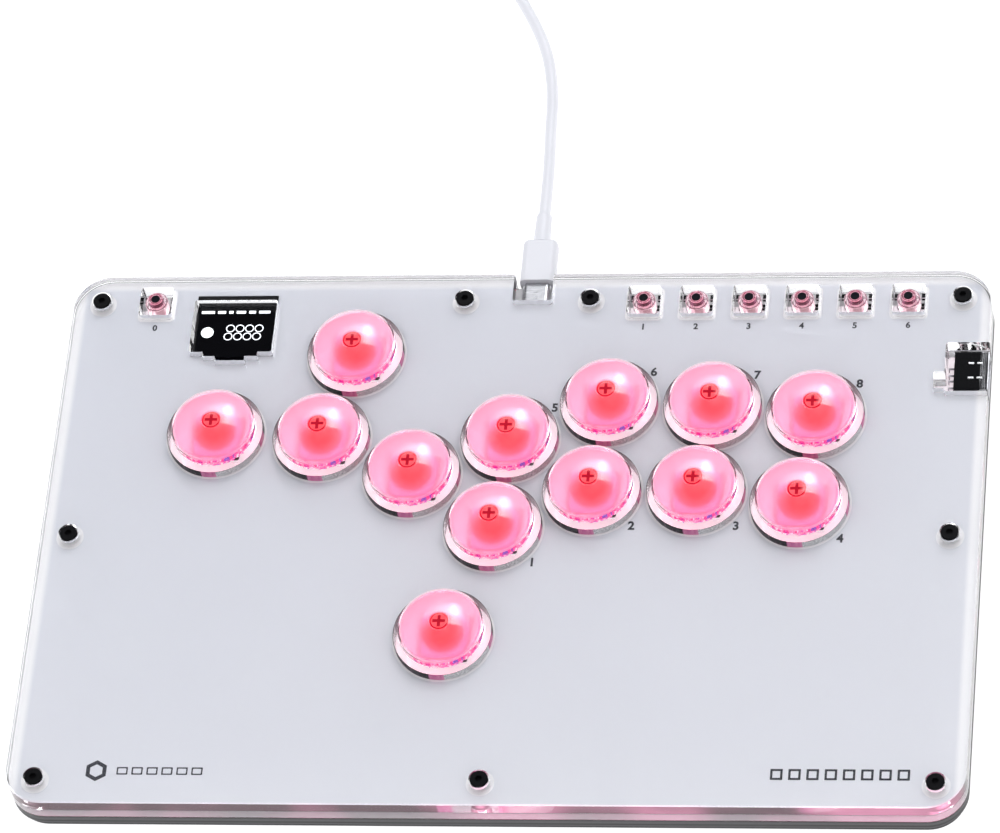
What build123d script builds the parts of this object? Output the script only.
from build123d import *
import math
import os

# All-button arcade controller panel, in millimetres.
# Origin: centre of the panel's underside. +X runs along the long side to the player's right,
# +Y points away from the player and +Z points up. The panel is a sandwich of flat layers, and
# every height below is the layer's own underside or top face above the table.

# ---------------------------------------------------------------- driving dimensions
PANEL_X, PANEL_Y, PANEL_Z = 290.0, 190.0, 15.0
CORNER_R = 12.0
PAD_TOP = 2.0            # rubber mat under the tray
TRAY_FLOOR_TOP = 2.8
PCB_BOTTOM, PCB_TOP = 4.7, 6.3
TRAY_TOP = 6.4
MID_TOP = 10.0           # clear plate that carries the switches
ART_TOP = 10.4           # printed sheet under the clear cover plate
TRAY_WALL = 3.5
PCB_GAP = 0.5            # between the board's edge and the tray's wall
ART_INSET = 2.6
PAD_INSET = 1.0
GROOVE_WIDTH, GROOVE_DEPTH, GROOVE_PITCH = 2.0, 0.5, 24

WELL_R = 15.0            # round wells for the big buttons
TRAVEL = 3.0             # full stroke of a big button

# Big buttons: name and centre.
BIG_BUTTONS = {
    "up": (-52.6, 66.3),
    "left": (-94.0, 36.9),
    "down": (-60.4, 35.4),
    "right": (-30.8, 22.1),
    "thumb": (-15.7, -35.4),
    "upper_1": (-1.3, 34.7),
    "upper_2": (28.6, 47.7),
    "upper_3": (60.8, 46.4),
    "upper_4": (92.7, 43.0),
    "lower_1": (-3.8, 2.9),
    "lower_2": (25.7, 15.9),
    "lower_3": (57.8, 15.8),
    "lower_4": (89.8, 11.3),
}

# Small menu buttons along the rear edge: one alone at the left and a row of six.
MENU_ROW_X, MENU_ROW_PITCH, MENU_ROW_COUNT = 36.8, 16.5, 6
MENU_Y = 84.9
MENU_ALONE = (-118.4, 85.6)
MENU_WINDOW = 10.4
MENU_TRAVEL = 0.3

# M3 screws that clamp the stack.
SCREW_INSET = 9.0
SCREW_X = PANEL_X / 2 - SCREW_INSET
SCREW_Y = PANEL_Y / 2 - SCREW_INSET
SCREW_PLACES = [
    (-SCREW_X, -SCREW_Y), (SCREW_X, -SCREW_Y), (-SCREW_X, SCREW_Y), (SCREW_X, SCREW_Y),
    (-SCREW_X, 0), (SCREW_X, 0), (0, -SCREW_Y), (-19.8, SCREW_Y), (19.8, SCREW_Y),
]
SHANK_R, SHANK_HOLE_R = 1.5, 1.7
SHANK_BOTTOM = 3.2
HEX_R, HEX_DEPTH = 1.15, 1.2
STANDOFF_R = 2.4
POST_R = 4.0             # tray posts round the standoffs
REST_R = 2.5             # plain tray posts under the board
REST_PLACES = [(-118, 20), (-118, -50), (-60, -50), (-60, -85), (60, -50), (60, -85), (118, -50)]
HEAD_R, HEAD_H, HEAD_PROUD = 2.8, 2.0, 0.2
COUNTERBORE_R = 3.15

# Low-profile key switch, measured from its own centre.
SWITCH_HOLE = 14.1
SWITCH_BODY = 13.9
SWITCH_FLANGE = 15.2
FLANGE_TOP = MID_TOP + 0.8
CAVITY = 11.2
CAVITY_FLOOR = 7.5
ROOF_BOTTOM, ROOF_TOP = 13.0, 13.8
HOUSING_BASE, HOUSING_ROOF = 13.4, 12.2
COLLAR_R, COLLAR_TOP = 4.2, 16.4
COLLAR_HOLE_R = COLLAR_R + 0.08
SLIDER, SLIDER_BOTTOM, SLIDER_TOP = 9.6, 11.6, ROOF_BOTTOM - 0.05
POLE_R, POLE_BOTTOM = 1.5, PCB_BOTTOM + 0.5 + TRAVEL
POLE_HOLE_R = POLE_R + 0.08
TUBE_R, TUBE_TOP = 2.4, 8.4
CROSS_LENGTH, CROSS_WIDE, CROSS_THIN, CROSS_TOP = 4.1, 1.3, 1.15, 19.8
SPRING_R, SPRING_WIRE, SPRING_TURNS, SPRING_TOP = 2.95, 0.34, 6.5, 13.2
SPRING_POCKET_R = 3.5
LED_PLACE = (0, 4.9)
LED_SIZE = (3.4, 2.7, 1.4)
SOCKET_SIZE = (10.4, 4.4, 1.7)

# Domed keycap.
CAP_R, CAP_BOTTOM, CAP_SHOULDER, CAP_APEX = 13.2, 16.0, 18.2, 23.0
CAP_SHOULDER_R = 12.2
CAP_WALL, CAP_ROOF = 1.0, 1.7
BOSS_R = 2.85
CROSS_GAP = 0.04

# Small menu button: a clear sleeve with a black plunger in it.
SLEEVE_R, SLEEVE_TOP_R, SLEEVE_BOTTOM, SLEEVE_TOP = 3.6, 2.35, 10.3, 16.2
PLUNGER_R, PLUNGER_TOP = 1.45, 16.4
PLUNGER_REST = 0.1       # gap under the pressed plunger
TACT_SIZE, TACT_TOP = 6.0, 9.7
TACT_FLOOR = PCB_TOP + 1.0
TACT_HOLE_R = PLUNGER_R + 0.08
TACT_LEG = (1.4, 0.8, 1.2)

# Display.
OLED_CENTRE = (-92.6, 76.1)
OLED_WINDOW = (26.4, 19.4)
OLED_GLASS = (25.8, 18.8, 1.5)
OLED_BOARD = (25.6, 24.4, 1.2)
OLED_STEP = (17.6, 1.6)
OLED_TAB = (9.6, 3.2)
HEADER = (10.2, 2.5)

# USB-C socket in the rear edge.
USB_C_X = 1.5
USB_C_SIZE = (8.94, 7.3, 3.2)
USB_C_WALL = 0.3
USB_C_MOUTH_Y = PANEL_Y / 2 - 0.3
USB_C_NOTCH = (12.4, 10.0)
USB_C_AXIS_Z = PCB_TOP + USB_C_SIZE[2] / 2
USB_C_TONGUE = (6.6, 0.6)

# USB-A socket in the right-hand edge.
USB_A_Y = 59.4
USB_A_NOTCH = (13.3, 17.8)
USB_A_TAB = (3.2, 6.0)
USB_A_HOUSING = (10.4, 14.0, 6.6)
USB_A_MOUTH_X = PANEL_X / 2 - 0.2
USB_A_PORT = (12.3, 4.9)
USB_A_PORT_DEPTH = 7.6
USB_A_TONGUE = (6.6, 11.1, 1.8)
USB_A_SHIELD_WALL = 0.3

# USB-C plug, cord and USB-A plug.
PLUG_C_SHELL = (8.25, 6.3, 2.4)
PLUG_C_BODY = (11.0, 16.0, 6.2)
PLUG_C_GAP = 0.4         # between the panel's rear edge and the plug's face
RELIEF_LENGTH, RELIEF_R, RELIEF_END_R = 10.2, 2.75, 2.45
CORD_D = 3.8
CORD_LENGTH = 1500.0
RUN_LENGTH = 126.5       # of the cord, from the strain relief to the coil
COIL_CENTRE = (-52.0, 247.0)
COIL_MID_R = 21.0
COIL_PITCH = 3.9
COIL_TURNS = (CORD_LENGTH - RUN_LENGTH) / (2 * math.pi * COIL_MID_R)
COIL_COLUMNS = 3
COIL_LAYERS = math.ceil(COIL_TURNS / COIL_COLUMNS)
PLUG_A_BODY = (27.0, 15.6, 7.6)
PLUG_A_SHELL = (15.0, 12.0, 4.5)
PLUG_A_REAR = (-34.8, 259.0)   # rear end of the far plug's grip; the plug points to -X


# ---------------------------------------------------------------- helpers
def rounded_plate(size_x, size_y, radius, low, high):
    """Flat plate with rounded corners, centred on the origin."""
    return Pos(0, 0, low) * extrude(RectangleRounded(size_x, size_y, radius), high - low)


def block(size_x, size_y, low, high, at=(0, 0), radius=0.0):
    """Upright block between two heights, with rounded upright edges if radius is given."""
    face = RectangleRounded(size_x, size_y, radius) if radius else Rectangle(size_x, size_y)
    return Pos(at[0], at[1], low) * extrude(face, high - low)


def rod(radius, low, high, at=(0, 0)):
    """Upright round bar between two heights."""
    return Pos(at[0], at[1], low) * extrude(Circle(radius), high - low)


def at_each(places, shape):
    """Copies of one shape at several places in the plan."""
    return [Pos(x, y, 0) * shape for x, y in places]


def save(node, shape):
    """Writes one node's STEP file; a list becomes a group of separate solids."""
    if isinstance(shape, list):
        solids = [solid for item in shape for solid in item.solids()]
        shape = Compound(children=solids)
    shape.label = node
    export_step(shape, f"parts/{node}.step")


def menu_places():
    row = [(MENU_ROW_X + MENU_ROW_PITCH * i, MENU_Y) for i in range(MENU_ROW_COUNT)]
    return [MENU_ALONE] + row


def display_window(low, high):
    """The display's cut-out: a rectangle with a step and a tab for its ribbon."""
    x, y = OLED_CENTRE
    front = y - OLED_WINDOW[1] / 2
    window = block(*OLED_WINDOW, low, high, (x, y), 0.8)
    step = block(OLED_STEP[0], 2 * OLED_STEP[1], low, high, (x, front))
    tab = block(OLED_TAB[0], 2 * OLED_TAB[1], low, high, (x, front))
    return [window, step, tab]


def usb_notches(low, high):
    """Cut-outs in the plates over the two sockets, open to the rear and right-hand edges."""
    rear = PANEL_Y / 2
    right = PANEL_X / 2
    wide, deep = USB_C_NOTCH
    notch_c = block(wide, 2 * deep, low, high, (USB_C_X, rear), 1.0)
    deep_a, wide_a = USB_A_NOTCH
    notch_a = block(2 * deep_a, wide_a, low, high, (right, USB_A_Y), 1.0)
    tab_x = right - deep_a - USB_A_TAB[0] / 2 + 1.0
    tab_y = USB_A_Y - USB_A_NOTCH[1] / 2 + USB_A_TAB[1] / 2 + 1.2
    tab = block(USB_A_TAB[0] + 2.0, USB_A_TAB[1], low, high, (tab_x, tab_y))
    return [notch_c, notch_a, tab]


# ---------------------------------------------------------------- plates, tray and mat
def top_plate():
    """Clear cover plate with the button wells, windows, notches and counterbores."""
    plate = rounded_plate(PANEL_X, PANEL_Y, CORNER_R, ART_TOP, PANEL_Z)
    plate = chamfer(plate.faces().sort_by(Axis.Z)[-1].edges(), 0.35)
    low, high = ART_TOP - 1, PANEL_Z + 1
    cuts = at_each(BIG_BUTTONS.values(), rod(WELL_R, low, high))
    cuts += at_each(menu_places(), block(MENU_WINDOW, MENU_WINDOW, low, high, radius=1.0))
    cuts += display_window(low, high) + usb_notches(low, high)
    cuts += at_each(SCREW_PLACES, rod(SHANK_HOLE_R, low, high))
    head_seat = PANEL_Z + HEAD_PROUD - HEAD_H
    cuts += at_each(SCREW_PLACES, rod(COUNTERBORE_R, head_seat, high))
    return plate - cuts


def art_sheet():
    """Printed diffuser sheet, a little smaller than the plates and cut like the cover."""
    size = (PANEL_X - 2 * ART_INSET, PANEL_Y - 2 * ART_INSET)
    sheet = rounded_plate(*size, CORNER_R - ART_INSET, MID_TOP, ART_TOP)
    low, high = MID_TOP - 1, ART_TOP + 1
    cuts = at_each(BIG_BUTTONS.values(), rod(WELL_R, low, high))
    cuts += at_each(menu_places(), block(MENU_WINDOW, MENU_WINDOW, low, high, radius=1.0))
    cuts += display_window(low, high) + usb_notches(low, high)
    cuts += at_each(SCREW_PLACES, rod(SHANK_HOLE_R, low, high))
    return sheet - cuts


def mid_plate():
    """Clear plate that the switches snap into."""
    plate = rounded_plate(PANEL_X, PANEL_Y, CORNER_R, TRAY_TOP, MID_TOP)
    low, high = TRAY_TOP - 1, MID_TOP + 1
    cuts = at_each(BIG_BUTTONS.values(), block(SWITCH_HOLE, SWITCH_HOLE, low, high))
    cuts += at_each(menu_places(), block(MENU_WINDOW, MENU_WINDOW, low, high, radius=1.0))
    x, y = OLED_CENTRE
    board_y = y - (OLED_BOARD[1] - OLED_GLASS[1]) / 2
    cuts += [block(OLED_BOARD[0] + 0.8, OLED_BOARD[1] + 0.8, low, high, (x, board_y), 0.8)]
    cuts += usb_notches(low, high)
    cuts += at_each(SCREW_PLACES, rod(SHANK_HOLE_R, low, high))
    return plate - cuts


def base_tray():
    """Dark shallow tray that holds the board, with posts under it."""
    tray = rounded_plate(PANEL_X, PANEL_Y, CORNER_R, PAD_TOP, TRAY_TOP)
    tray = chamfer(tray.faces().sort_by(Axis.Z)[0].edges(), 0.6)
    inside = (PANEL_X - 2 * TRAY_WALL, PANEL_Y - 2 * TRAY_WALL)
    tray -= rounded_plate(*inside, CORNER_R - TRAY_WALL, TRAY_FLOOR_TOP, TRAY_TOP + 1)
    low = TRAY_FLOOR_TOP - 0.2
    tray += at_each(SCREW_PLACES, rod(POST_R, low, PCB_BOTTOM))
    tray += at_each(REST_PLACES, rod(REST_R, low, PCB_BOTTOM))
    tray -= at_each(SCREW_PLACES, rod(STANDOFF_R + 0.05, TRAY_FLOOR_TOP, PCB_BOTTOM + 1))
    relief = block(USB_C_SIZE[0] + 0.6, 2 * TRAY_WALL + 1, PCB_TOP - 0.5, TRAY_TOP + 1,
                   (USB_C_X, PANEL_Y / 2))
    relief_a = block(2 * TRAY_WALL + 1, USB_A_HOUSING[1] + 0.6, PCB_TOP - 0.5, TRAY_TOP + 1,
                     (PANEL_X / 2, USB_A_Y))
    return tray - [relief, relief_a]


def grip_pad():
    """Rubber mat on the underside, with shallow grooves for grip."""
    pad = rounded_plate(PANEL_X - 2 * PAD_INSET, PANEL_Y - 2 * PAD_INSET,
                        CORNER_R - PAD_INSET, 0, PAD_TOP)
    groove = block(PANEL_X - 40, GROOVE_WIDTH, -1, GROOVE_DEPTH)
    reach = GROOVE_PITCH * 3
    return pad - [Pos(0, y, 0) * groove for y in range(-reach, reach + 1, GROOVE_PITCH)]


def main_pcb():
    """Circuit board with a pole hole and a lamp slot under every big button."""
    edge = 2 * (TRAY_WALL + PCB_GAP)
    board = rounded_plate(PANEL_X - edge, PANEL_Y - edge, CORNER_R - TRAY_WALL, PCB_BOTTOM, PCB_TOP)
    low, high = PCB_BOTTOM - 1, PCB_TOP + 1
    cuts = at_each(BIG_BUTTONS.values(), rod(TUBE_R + 0.1, low, high))
    slot = block(LED_SIZE[0] + 0.3, LED_SIZE[1] + 0.3, low, high, LED_PLACE)
    cuts += at_each(BIG_BUTTONS.values(), slot)
    cuts += at_each(SCREW_PLACES, rod(STANDOFF_R + 0.3, low, high))
    return board - cuts


# ---------------------------------------------------------------- fasteners
def plate_screw():
    """Black M3 low-head screw with a hexagon socket, along Z at the origin."""
    top = PANEL_Z + HEAD_PROUD
    head = chamfer(rod(HEAD_R, top - HEAD_H, top).faces().sort_by(Axis.Z)[-1].edges(), 0.25)
    socket = Pos(0, 0, top - HEX_DEPTH) * extrude(RegularPolygon(HEX_R, 6), 2)
    return head - socket + rod(SHANK_R, SHANK_BOTTOM, top - HEAD_H)


def standoff():
    """Threaded sleeve that stands in a tray post and takes a screw."""
    return rod(STANDOFF_R, TRAY_FLOOR_TOP, TRAY_TOP) - rod(SHANK_R + 0.05, 0, PANEL_Z)


# ---------------------------------------------------------------- key switch
def lower_housing():
    """Square switch base with a flange, a spring tube and a pole hole."""
    body = block(SWITCH_BODY, SWITCH_BODY, PCB_TOP, MID_TOP, radius=0.5)
    body += block(SWITCH_FLANGE, SWITCH_FLANGE, MID_TOP, FLANGE_TOP, radius=0.8)
    body -= block(CAVITY, CAVITY, CAVITY_FLOOR, FLANGE_TOP + 1, radius=0.6)
    body += rod(TUBE_R, CAVITY_FLOOR - 0.2, TUBE_TOP) + rod(TUBE_R, PCB_BOTTOM + 0.2, PCB_TOP + 0.2)
    return body - rod(POLE_HOLE_R, 0, PANEL_Z)


def upper_housing():
    """Switch cover that tapers towards its roof, with the round stem hole."""
    base = Pos(0, 0, FLANGE_TOP) * RectangleRounded(HOUSING_BASE, HOUSING_BASE, 1.0)
    roof = Pos(0, 0, ROOF_TOP) * RectangleRounded(HOUSING_ROOF, HOUSING_ROOF, 0.8)
    cover = loft([base, roof])
    cover -= block(CAVITY, CAVITY, FLANGE_TOP - 1, ROOF_BOTTOM, radius=0.6)
    return cover - rod(COLLAR_HOLE_R, ROOF_BOTTOM - 1, ROOF_TOP + 1)


def stem():
    """Red slider with a guide pole, a round collar and a cross that holds the keycap."""
    slider = block(SLIDER, SLIDER, SLIDER_BOTTOM, SLIDER_TOP, radius=0.8)
    slider += rod(COLLAR_R, SLIDER_TOP - 0.5, COLLAR_TOP)
    pocket = rod(SPRING_POCKET_R, SLIDER_BOTTOM - 1, SPRING_TOP)
    slider = slider - pocket + rod(POLE_R, POLE_BOTTOM, SPRING_TOP + 0.5)
    cross = block(CROSS_LENGTH, CROSS_WIDE, COLLAR_TOP - 0.5, CROSS_TOP)
    cross += block(CROSS_THIN, CROSS_LENGTH, COLLAR_TOP - 0.5, CROSS_TOP)
    return slider + cross


def switch_spring():
    """Round-wire return spring between the housing floor and the stem's pocket."""
    height = SPRING_TOP - CAVITY_FLOOR - SPRING_WIRE - 0.1
    start = CAVITY_FLOOR + SPRING_WIRE / 2 + 0.05
    path = Pos(0, 0, start) * Helix(height / SPRING_TURNS, height, SPRING_R)
    section = Plane(origin=path @ 0, z_dir=path % 0) * Circle(SPRING_WIRE / 2)
    return sweep(section, path)


def hot_swap_socket():
    """Push-in contact block under the board."""
    low = PCB_BOTTOM - SOCKET_SIZE[2]
    return block(SOCKET_SIZE[0], SOCKET_SIZE[1], low, PCB_BOTTOM, (-0.6, -4.9), 0.8)


def switch_led():
    """Lamp set into the board's slot."""
    return block(LED_SIZE[0], LED_SIZE[1], PCB_TOP - 0.1 - LED_SIZE[2], PCB_TOP - 0.1, LED_PLACE)


def keycap():
    """Clear domed cap: a low wall, a rounded shoulder, a dome, and a boss with a cross socket."""
    rise = CAP_APEX - CAP_SHOULDER - 1.2
    outer = Polyline((0, CAP_BOTTOM), (CAP_R - 0.3, CAP_BOTTOM), (CAP_R, CAP_BOTTOM + 0.3),
                     (CAP_R, CAP_SHOULDER))
    shoulder = ThreePointArc((CAP_R, CAP_SHOULDER), (CAP_R - 0.32, CAP_SHOULDER + 0.78),
                             (CAP_SHOULDER_R, CAP_SHOULDER + 1.2))
    dome_r = (CAP_SHOULDER_R ** 2 + rise ** 2) / (2 * rise)
    half = math.asin(CAP_SHOULDER_R / dome_r) / 2
    middle = (dome_r * math.sin(half), CAP_APEX - dome_r * (1 - math.cos(half)))
    dome = ThreePointArc((CAP_SHOULDER_R, CAP_SHOULDER + 1.2), middle, (0, CAP_APEX))
    back = Line((0, CAP_APEX), (0, CAP_BOTTOM))
    profile = make_face([outer, shoulder, dome, back])
    cap = revolve(Plane.XZ * profile, Axis.Z)

    inner_r = CAP_R - CAP_WALL
    roof = CAP_APEX - CAP_ROOF
    inner_rise = roof - CAP_SHOULDER
    inner_dome_r = (inner_r ** 2 + inner_rise ** 2) / (2 * inner_rise)
    half = math.asin(inner_r / inner_dome_r) / 2
    middle = (inner_dome_r * math.sin(half), roof - inner_dome_r * (1 - math.cos(half)))
    hollow = make_face([
        Polyline((0, roof), (0, CAP_BOTTOM - 1), (inner_r, CAP_BOTTOM - 1), (inner_r, CAP_SHOULDER)),
        ThreePointArc((inner_r, CAP_SHOULDER), middle, (0, roof)),
    ])
    cap -= revolve(Plane.XZ * hollow, Axis.Z)

    cap += rod(BOSS_R, COLLAR_TOP, roof + 0.4)
    long_arm = CROSS_LENGTH + 2 * CROSS_GAP
    cap -= block(long_arm, CROSS_WIDE + 2 * CROSS_GAP, COLLAR_TOP - 1, CROSS_TOP + 0.1)
    return cap - block(CROSS_THIN + 2 * CROSS_GAP, long_arm, COLLAR_TOP - 1, CROSS_TOP + 0.1)


# ---------------------------------------------------------------- menu buttons
def tact_body():
    """Square push switch with a plunger bore and four legs on the board."""
    body = block(TACT_SIZE, TACT_SIZE, PCB_TOP, TACT_TOP, radius=0.4)
    body += rod(2.0, TACT_TOP - 0.5, TACT_TOP + 0.2)
    body -= rod(TACT_HOLE_R, TACT_FLOOR, TACT_TOP + 1)
    long, wide, high = TACT_LEG
    for side in (-1, 1):
        for end in (-1, 1):
            at = (side * (TACT_SIZE / 2 + 0.5), end * 2.0)
            body += block(long, wide, PCB_TOP, PCB_TOP + high, at)
    return body


def menu_button():
    """Clear stepped sleeve and the black plunger that it is pressed on."""
    sleeve = rod(SLEEVE_R, SLEEVE_BOTTOM, SLEEVE_TOP - 1.6)
    sleeve += rod(SLEEVE_TOP_R, SLEEVE_TOP - 2.0, SLEEVE_TOP)
    sleeve = chamfer(sleeve.faces().sort_by(Axis.Z)[-1].edges(), 0.2)
    sleeve -= rod(PLUNGER_R, SLEEVE_BOTTOM - 1, SLEEVE_TOP + 1)
    plunger = rod(PLUNGER_R, TACT_FLOOR + MENU_TRAVEL + PLUNGER_REST, PLUNGER_TOP)
    plunger = chamfer(plunger.faces().sort_by(Axis.Z)[-1].edges(), 0.2)
    return [sleeve, plunger]


# ---------------------------------------------------------------- display and chip
def oled_display():
    """Display glass, and the ribbon that leaves it towards the player."""
    x, y = OLED_CENTRE
    glass = block(OLED_GLASS[0], OLED_GLASS[1], MID_TOP, MID_TOP + OLED_GLASS[2], (x, y), 0.4)
    front = y - OLED_GLASS[1] / 2
    ribbon = block(OLED_TAB[0] - 1.4, 2.6, MID_TOP, MID_TOP + 0.3, (x, front - 1.3))
    return [glass, ribbon]


def oled_board():
    """Small board under the display, and the pin header that joins it to the main board."""
    x, y = OLED_CENTRE
    board_y = y - (OLED_BOARD[1] - OLED_GLASS[1]) / 2
    low = MID_TOP - OLED_BOARD[2]
    board = block(OLED_BOARD[0], OLED_BOARD[1], low, MID_TOP, (x, board_y), 1.0)
    header_y = board_y + OLED_BOARD[1] / 2 - HEADER[1] / 2 - 0.3
    return [board, block(*HEADER, PCB_TOP, low, (x, header_y))]


def controller_chips():
    """Controller, memory and crystal on the board's underside."""
    sizes = [((-30, 78), (7, 7, 0.9)), ((-40, 78), (5, 4, 0.8)), ((-30, 69), (3.2, 2.5, 0.8))]
    return [block(x, y, PCB_BOTTOM - h, PCB_BOTTOM, at) for at, (x, y, h) in sizes]


# ---------------------------------------------------------------- sockets
def stadium(width, height):
    """Rounded slot outline, standing upright in the XZ plane."""
    return RectangleRounded(width, height, height / 2 - 0.01)


def along_y(face, start, length, centre_x, centre_z):
    """Extrudes an XZ outline towards +Y from start."""
    plane = Plane(origin=(centre_x, start, centre_z), x_dir=(-1, 0, 0), z_dir=(0, 1, 0))
    return extrude(plane * face, length)


def along_x(face, start, length, centre_y, centre_z):
    """Extrudes a YZ outline towards +X from start."""
    plane = Plane(origin=(start, centre_y, centre_z), x_dir=(0, 1, 0), z_dir=(1, 0, 0))
    return extrude(plane * face, length)


def usb_c_socket():
    """Drawn metal shell, closed at the back, with its contact tongue."""
    wide, deep, high = USB_C_SIZE
    start = USB_C_MOUTH_Y - deep
    shell = along_y(stadium(wide, high), start, deep, USB_C_X, USB_C_AXIS_Z)
    inner = stadium(wide - 2 * USB_C_WALL, high - 2 * USB_C_WALL)
    shell -= along_y(inner, start + USB_C_WALL, deep, USB_C_X, USB_C_AXIS_Z)
    tongue = along_y(Rectangle(*USB_C_TONGUE), start + USB_C_WALL, deep - 2.2, USB_C_X, USB_C_AXIS_Z)
    return [shell, tongue]


def usb_a_housing():
    """Black socket block with the tongue of a host port, opening to the right."""
    deep, wide, high = USB_A_HOUSING
    z = PCB_TOP + high / 2
    start = USB_A_MOUTH_X - deep
    housing = along_x(Rectangle(wide, high), start, deep, USB_A_Y, z)
    housing = fillet(housing.edges().filter_by(Axis.X), 0.5)
    housing -= along_x(Rectangle(*USB_A_PORT), USB_A_MOUTH_X - USB_A_PORT_DEPTH, deep, USB_A_Y, z)
    length, tongue_y, tongue_z = USB_A_TONGUE
    tongue_centre = z + USB_A_PORT[1] / 2 - USB_A_SHIELD_WALL - 0.55 - tongue_z / 2
    root = USB_A_MOUTH_X - USB_A_PORT_DEPTH - 0.2
    return housing + along_x(Rectangle(tongue_y, tongue_z), root, length, USB_A_Y, tongue_centre)


def usb_a_shield():
    """Sheet-metal liner of the socket with a small flange round its mouth."""
    wide, high = USB_A_PORT
    z = PCB_TOP + USB_A_HOUSING[2] / 2
    start = USB_A_MOUTH_X - USB_A_PORT_DEPTH + 0.3
    length = USB_A_MOUTH_X - start
    wall = 2 * USB_A_SHIELD_WALL
    liner = along_x(Rectangle(wide, high), start, length, USB_A_Y, z)
    flange = along_x(Rectangle(wide + 1.2, high + 1.0), USB_A_MOUTH_X, 0.2, USB_A_Y, z)
    inner = along_x(Rectangle(wide - wall, high - wall), start - 1, length + 3, USB_A_Y, z)
    return liner + flange - inner


def usb_a_contacts():
    """Four bent contact tails behind the socket, soldered to the board."""
    back = USB_A_MOUTH_X - USB_A_HOUSING[0]
    tails = []
    for y in (-3.5, -1.0, 1.0, 3.5):
        tail = block(2.2, 0.6, PCB_TOP + 1.6, PCB_TOP + 1.9, (back - 1.1, USB_A_Y + y))
        tail += block(0.3, 0.6, PCB_TOP, PCB_TOP + 1.9, (back - 2.05, USB_A_Y + y))
        tails.append(tail)
    return tails


# ---------------------------------------------------------------- plugs and cord
def plug_face_y():
    return PANEL_Y / 2 + PLUG_C_GAP


def usb_c_plug_shell():
    """Plug's metal tube, in the socket, with the tongue's slot."""
    wide, deep, high = PLUG_C_SHELL
    start = plug_face_y() - deep
    shell = along_y(stadium(wide, high), start, deep, USB_C_X, USB_C_AXIS_Z)
    slot = stadium(wide - 0.6, high - 0.6)
    return shell - along_y(slot, start - 1, deep, USB_C_X, USB_C_AXIS_Z)


def usb_c_plug_body():
    """Moulded grip with rounded shoulders, and the tapered strain relief behind it."""
    wide, deep, high = PLUG_C_BODY
    start = plug_face_y()
    grip = along_y(RectangleRounded(wide, high, 2.0), start, deep, USB_C_X, USB_C_AXIS_Z)
    grip = fillet(grip.faces().sort_by(Axis.Y)[-1].edges(), 1.8)
    plane = Plane(origin=(USB_C_X, start + deep - 0.5, USB_C_AXIS_Z), z_dir=(0, 1, 0))
    end = plane.offset(RELIEF_LENGTH + 0.5)
    relief = loft([plane * Circle(RELIEF_R), end * Circle(RELIEF_END_R)])
    relief = fillet(relief.faces().sort_by(Axis.Y)[-1].edges(), 0.45)
    return grip + relief


def cord_start():
    return (USB_C_X, plug_face_y() + PLUG_C_BODY[1] + RELIEF_LENGTH, USB_C_AXIS_Z)


def cord_route():
    """Points of the cord from the strain relief to the coil, chosen by hand."""
    floor = CORD_D / 2
    return [
        cord_start(),
        (USB_C_X, 131.6, USB_C_AXIS_Z),
        (0.8, 144.0, 4.8),
        (-0.4, 158.0, floor),
        (-0.8, 174.0, floor),
        (-4.2, 191.0, floor),
        (-12.4, 208.0, floor),
        (-22.4, 224.0, floor),
        (-27.2, 242.0, floor),
    ]


def cord_run():
    """The stretch of the cord that isn't coiled: straight runs joined by tangent arcs."""
    points = [Vector(*p) for p in cord_route()]
    radii = []
    for before, here, after in zip(points, points[1:], points[2:]):
        turn = (here - before).get_angle(after - here)
        shorter = min((here - before).length, (after - here).length)
        radii.append(0.45 * shorter / math.tan(math.radians(turn / 2)))
    print("cord radii", [round(r, 1) for r in radii])
    path = FilletPolyline(*points, radius=radii)
    section = Plane(origin=path @ 0, z_dir=path % 0) * Circle(CORD_D / 2)
    tube = sweep(section, path)
    expected = math.pi * (CORD_D / 2) ** 2 * path.length
    print("cord length", round(path.length, 1), "volume ratio", round(tube.volume / expected, 4))
    return tube


def cord_coil():
    """Outer shape of the wound cord: a ring as wide and high as its turns."""
    half_width = COIL_COLUMNS * COIL_PITCH / 2
    height = CORD_D + (COIL_LAYERS - 1) * COIL_PITCH
    ring = rod(COIL_MID_R + half_width, 0, height, COIL_CENTRE)
    ring -= rod(COIL_MID_R - half_width, -1, height + 1, COIL_CENTRE)
    top_and_bottom = ring.edges().filter_by(GeomType.CIRCLE)
    return fillet(top_and_bottom, CORD_D / 2 - 0.1)


def plug_a_frame():
    """Plane of the USB-A plug: origin at the rear of its grip, X along it, lying on the coil."""
    height = CORD_D + (COIL_LAYERS - 1) * COIL_PITCH + PLUG_A_BODY[2] / 2
    return Plane(origin=(*PLUG_A_REAR, height), x_dir=(-1, 0, 0), z_dir=(0, 0, 1))


def usb_a_plug_body():
    """Moulded grip of the far plug."""
    long, wide, high = PLUG_A_BODY
    grip = Pos(long / 2, 0, 0) * Box(long, wide, high)
    grip = fillet(grip.edges().filter_by(Axis.X), 1.6)
    grip = fillet(grip.faces().sort_by(Axis.X)[0].edges(), 1.4)
    return plug_a_frame() * grip


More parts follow.
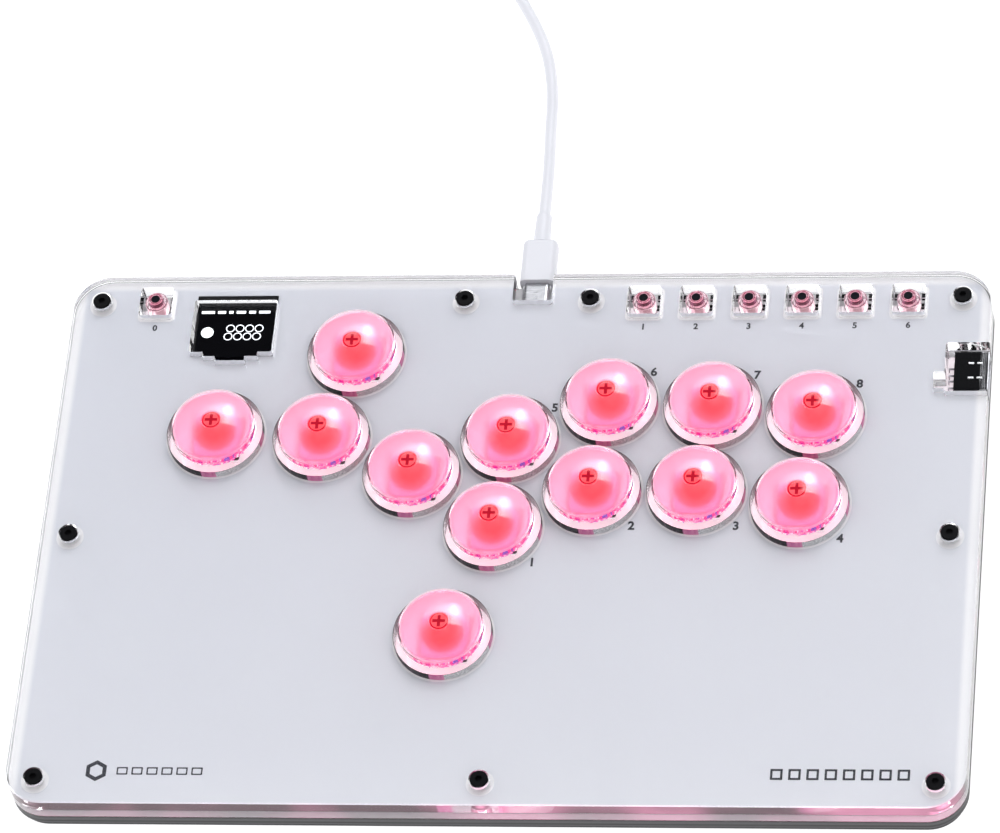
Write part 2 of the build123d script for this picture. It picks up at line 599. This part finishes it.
def usb_a_plug_shell():
    """Flat metal tube of the far plug with its two holes and insulator."""
    long, wide, high = PLUG_A_SHELL
    start = PLUG_A_BODY[0]
    shell = Pos(start + long / 2, 0, 0) * (Box(long, wide, high) - Box(long + 1, wide - 0.6, high - 0.6))
    holes = [Pos(start + 8.0, y, high / 2) * Box(2.2, 2.4, 2) for y in (-2.6, 2.6)]
    insulator_z = -high / 2 + 0.3 + 0.9
    insulator = Pos(start + (long - 0.6) / 2, 0, insulator_z) * Box(long - 0.6, wide - 0.7, 1.8)
    return [plug_a_frame() * (shell - holes), plug_a_frame() * insulator]


# ---------------------------------------------------------------- assembly
def main():
    os.makedirs("parts", exist_ok=True)
    places = list(BIG_BUTTONS.values())

    save("top_plate", top_plate())
    save("art_sheet", art_sheet())
    save("mid_plate", mid_plate())
    save("base_tray", base_tray())
    save("grip_pad", grip_pad())
    save("main_pcb", main_pcb())
    save("plate_screws", at_each(SCREW_PLACES, plate_screw()))
    save("standoffs", at_each(SCREW_PLACES, standoff()))

    save("switch_lower_housings", at_each(places, lower_housing()))
    save("switch_upper_housings", at_each(places, upper_housing()))
    save("switch_springs", at_each(places, switch_spring()))
    save("hot_swap_sockets", at_each(places, hot_swap_socket()))
    save("switch_leds", at_each(places, switch_led()))
    one_stem, one_cap = stem(), keycap()
    for name, (x, y) in BIG_BUTTONS.items():
        save(f"stem_{name}", Pos(x, y, 0) * one_stem)
        save(f"keycap_{name}", Pos(x, y, 0) * one_cap)

    save("tact_switches", at_each(menu_places(), tact_body()))
    for number, (x, y) in enumerate(menu_places(), 1):
        save(f"menu_button_{number}", [Pos(x, y, 0) * piece for piece in menu_button()])

    save("oled_display", oled_display())
    save("oled_board", oled_board())
    save("controller_chips", controller_chips())
    save("usb_c_socket", usb_c_socket())
    save("usb_a_housing", usb_a_housing())
    save("usb_a_shield", usb_a_shield())
    save("usb_a_contacts", usb_a_contacts())

    save("usb_c_plug_shell", usb_c_plug_shell())
    save("usb_c_plug_body", usb_c_plug_body())
    save("cord_run", cord_run())
    save("cord_coil", cord_coil())
    save("usb_a_plug_body", usb_a_plug_body())
    save("usb_a_plug_shell", usb_a_plug_shell())


main()
